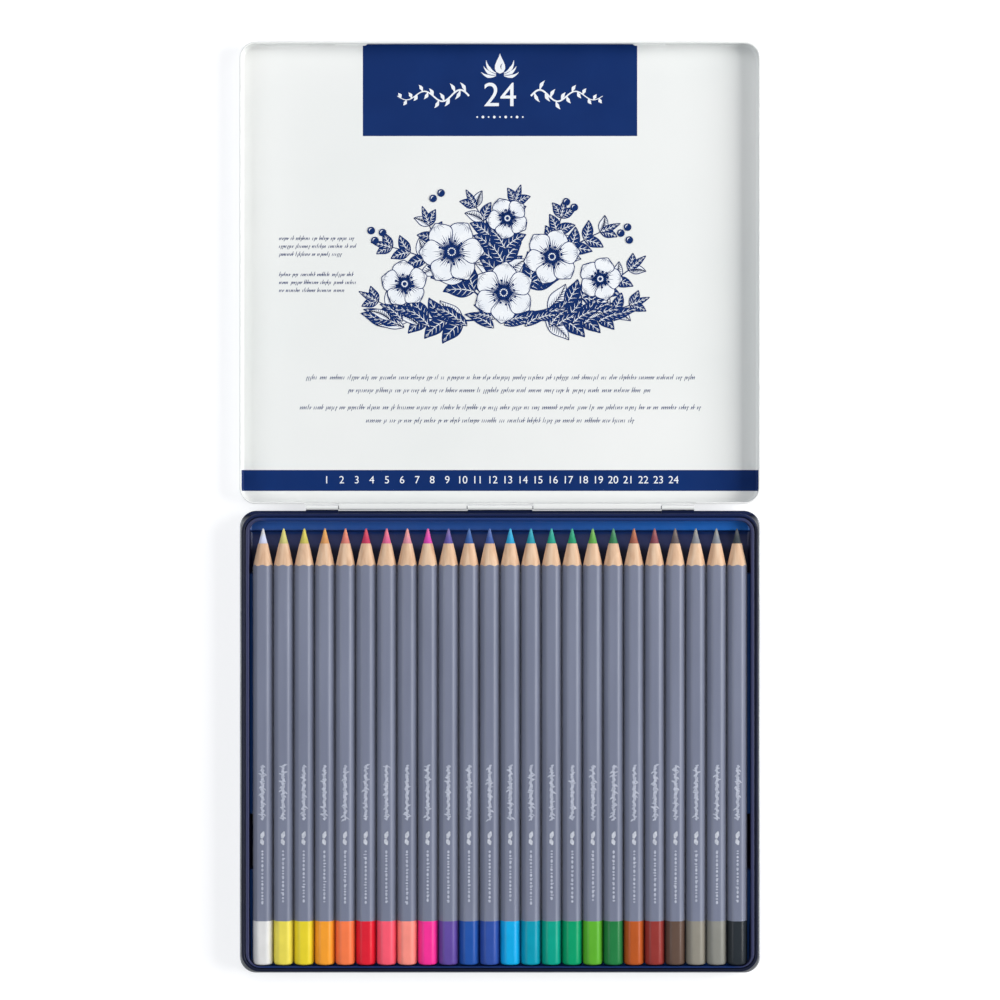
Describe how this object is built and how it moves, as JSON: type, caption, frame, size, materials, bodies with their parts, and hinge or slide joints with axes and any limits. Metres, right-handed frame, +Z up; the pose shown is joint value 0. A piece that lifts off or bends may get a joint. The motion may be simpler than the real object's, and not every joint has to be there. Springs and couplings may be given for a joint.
{
  "type": "watercolor pencil set",
  "caption": "Flat hinged metal tin with a fold-back lid and a grooved insert that holds sharpened hexagonal watercolor pencils side by side.",
  "frame": {"origin": "middle of the tray's underside", "axes": "+Z up, +Y from the tray to the lid that lies open behind it, along the pencils toward their points, +X across the pencils"},
  "size_m": [0.2094, 0.3743, 0.0113],
  "materials": {
    "tin_lacquer": "gloss white lacquer",
    "hinge_wire": "drawn wire",
    "insert_plastic": "vacuum-formed gloss",
    "cedar": "sharpened cedar under satin lacquer",
    "lead_01": "matte pressed pigment",
    "lead_02": "matte pressed pigment",
    "lead_03": "matte pressed pigment",
    "lead_04": "matte pressed pigment",
    "lead_05": "matte pressed pigment",
    "lead_06": "matte pressed pigment",
    "lead_07": "matte pressed pigment",
    "lead_08": "matte pressed pigment",
    "lead_09": "matte pressed pigment",
    "lead_10": "matte pressed pigment",
    "lead_11": "matte pressed pigment",
    "lead_12": "matte pressed pigment",
    "lead_13": "matte pressed pigment",
    "lead_14": "matte pressed pigment",
    "lead_15": "matte pressed pigment",
    "lead_16": "matte pressed pigment",
    "lead_17": "matte pressed pigment",
    "lead_18": "matte pressed pigment",
    "lead_19": "matte pressed pigment",
    "lead_20": "matte pressed pigment",
    "lead_21": "matte pressed pigment",
    "lead_22": "matte pressed pigment",
    "lead_23": "matte pressed pigment",
    "lead_24": "matte pressed pigment"
  },
  "bodies": {
    "base": {"base_tin": "tin_lacquer", "hinge_pin": "hinge_wire"},
    "lid": {"lid": "tin_lacquer"},
    "insert": {"insert_tray": "insert_plastic"},
    "pencil_01": {"pencil_01_casing": "cedar", "pencil_01_core": "lead_01"},
    "pencil_02": {"pencil_02_casing": "cedar", "pencil_02_core": "lead_02"},
    "pencil_03": {"pencil_03_casing": "cedar", "pencil_03_core": "lead_03"},
    "pencil_04": {"pencil_04_casing": "cedar", "pencil_04_core": "lead_04"},
    "pencil_05": {"pencil_05_casing": "cedar", "pencil_05_core": "lead_05"},
    "pencil_06": {"pencil_06_casing": "cedar", "pencil_06_core": "lead_06"},
    "pencil_07": {"pencil_07_casing": "cedar", "pencil_07_core": "lead_07"},
    "pencil_08": {"pencil_08_casing": "cedar", "pencil_08_core": "lead_08"},
    "pencil_09": {"pencil_09_casing": "cedar", "pencil_09_core": "lead_09"},
    "pencil_10": {"pencil_10_casing": "cedar", "pencil_10_core": "lead_10"},
    "pencil_11": {"pencil_11_casing": "cedar", "pencil_11_core": "lead_11"},
    "pencil_12": {"pencil_12_casing": "cedar", "pencil_12_core": "lead_12"},
    "pencil_13": {"pencil_13_casing": "cedar", "pencil_13_core": "lead_13"},
    "pencil_14": {"pencil_14_casing": "cedar", "pencil_14_core": "lead_14"},
    "pencil_15": {"pencil_15_casing": "cedar", "pencil_15_core": "lead_15"},
    "pencil_16": {"pencil_16_casing": "cedar", "pencil_16_core": "lead_16"},
    "pencil_17": {"pencil_17_casing": "cedar", "pencil_17_core": "lead_17"},
    "pencil_18": {"pencil_18_casing": "cedar", "pencil_18_core": "lead_18"},
    "pencil_19": {"pencil_19_casing": "cedar", "pencil_19_core": "lead_19"},
    "pencil_20": {"pencil_20_casing": "cedar", "pencil_20_core": "lead_20"},
    "pencil_21": {"pencil_21_casing": "cedar", "pencil_21_core": "lead_21"},
    "pencil_22": {"pencil_22_casing": "cedar", "pencil_22_core": "lead_22"},
    "pencil_23": {"pencil_23_casing": "cedar", "pencil_23_core": "lead_23"},
    "pencil_24": {"pencil_24_casing": "cedar", "pencil_24_core": "lead_24"}
  },
  "joints": [
    {"name": "lid_hinge", "type": "hinge", "parent": "base", "child": "lid", "pos_m": [0, 0.09425, 0.007], "axis": [-1, 0, 0], "range_deg": [-180, 0]},
    {"name": "insert_lift", "type": "slide", "parent": "base", "child": "insert", "axis": [0, 0, 1], "range_m": [0, 0.03]},
    {"name": "pencil_01_lift", "type": "slide", "parent": "insert", "child": "pencil_01", "axis": [0, 0, 1], "range_m": [0, 0.04]},
    {"name": "pencil_02_lift", "type": "slide", "parent": "insert", "child": "pencil_02", "axis": [0, 0, 1], "range_m": [0, 0.04]},
    {"name": "pencil_03_lift", "type": "slide", "parent": "insert", "child": "pencil_03", "axis": [0, 0, 1], "range_m": [0, 0.04]},
    {"name": "pencil_04_lift", "type": "slide", "parent": "insert", "child": "pencil_04", "axis": [0, 0, 1], "range_m": [0, 0.04]},
    {"name": "pencil_05_lift", "type": "slide", "parent": "insert", "child": "pencil_05", "axis": [0, 0, 1], "range_m": [0, 0.04]},
    {"name": "pencil_06_lift", "type": "slide", "parent": "insert", "child": "pencil_06", "axis": [0, 0, 1], "range_m": [0, 0.04]},
    {"name": "pencil_07_lift", "type": "slide", "parent": "insert", "child": "pencil_07", "axis": [0, 0, 1], "range_m": [0, 0.04]},
    {"name": "pencil_08_lift", "type": "slide", "parent": "insert", "child": "pencil_08", "axis": [0, 0, 1], "range_m": [0, 0.04]},
    {"name": "pencil_09_lift", "type": "slide", "parent": "insert", "child": "pencil_09", "axis": [0, 0, 1], "range_m": [0, 0.04]},
    {"name": "pencil_10_lift", "type": "slide", "parent": "insert", "child": "pencil_10", "axis": [0, 0, 1], "range_m": [0, 0.04]},
    {"name": "pencil_11_lift", "type": "slide", "parent": "insert", "child": "pencil_11", "axis": [0, 0, 1], "range_m": [0, 0.04]},
    {"name": "pencil_12_lift", "type": "slide", "parent": "insert", "child": "pencil_12", "axis": [0, 0, 1], "range_m": [0, 0.04]},
    {"name": "pencil_13_lift", "type": "slide", "parent": "insert", "child": "pencil_13", "axis": [0, 0, 1], "range_m": [0, 0.04]},
    {"name": "pencil_14_lift", "type": "slide", "parent": "insert", "child": "pencil_14", "axis": [0, 0, 1], "range_m": [0, 0.04]},
    {"name": "pencil_15_lift", "type": "slide", "parent": "insert", "child": "pencil_15", "axis": [0, 0, 1], "range_m": [0, 0.04]},
    {"name": "pencil_16_lift", "type": "slide", "parent": "insert", "child": "pencil_16", "axis": [0, 0, 1], "range_m": [0, 0.04]},
    {"name": "pencil_17_lift", "type": "slide", "parent": "insert", "child": "pencil_17", "axis": [0, 0, 1], "range_m": [0, 0.04]},
    {"name": "pencil_18_lift", "type": "slide", "parent": "insert", "child": "pencil_18", "axis": [0, 0, 1], "range_m": [0, 0.04]},
    {"name": "pencil_19_lift", "type": "slide", "parent": "insert", "child": "pencil_19", "axis": [0, 0, 1], "range_m": [0, 0.04]},
    {"name": "pencil_20_lift", "type": "slide", "parent": "insert", "child": "pencil_20", "axis": [0, 0, 1], "range_m": [0, 0.04]},
    {"name": "pencil_21_lift", "type": "slide", "parent": "insert", "child": "pencil_21", "axis": [0, 0, 1], "range_m": [0, 0.04]},
    {"name": "pencil_22_lift", "type": "slide", "parent": "insert", "child": "pencil_22", "axis": [0, 0, 1], "range_m": [0, 0.04]},
    {"name": "pencil_23_lift", "type": "slide", "parent": "insert", "child": "pencil_23", "axis": [0, 0, 1], "range_m": [0, 0.04]},
    {"name": "pencil_24_lift", "type": "slide", "parent": "insert", "child": "pencil_24", "axis": [0, 0, 1], "range_m": [0, 0.04]}
  ]
}
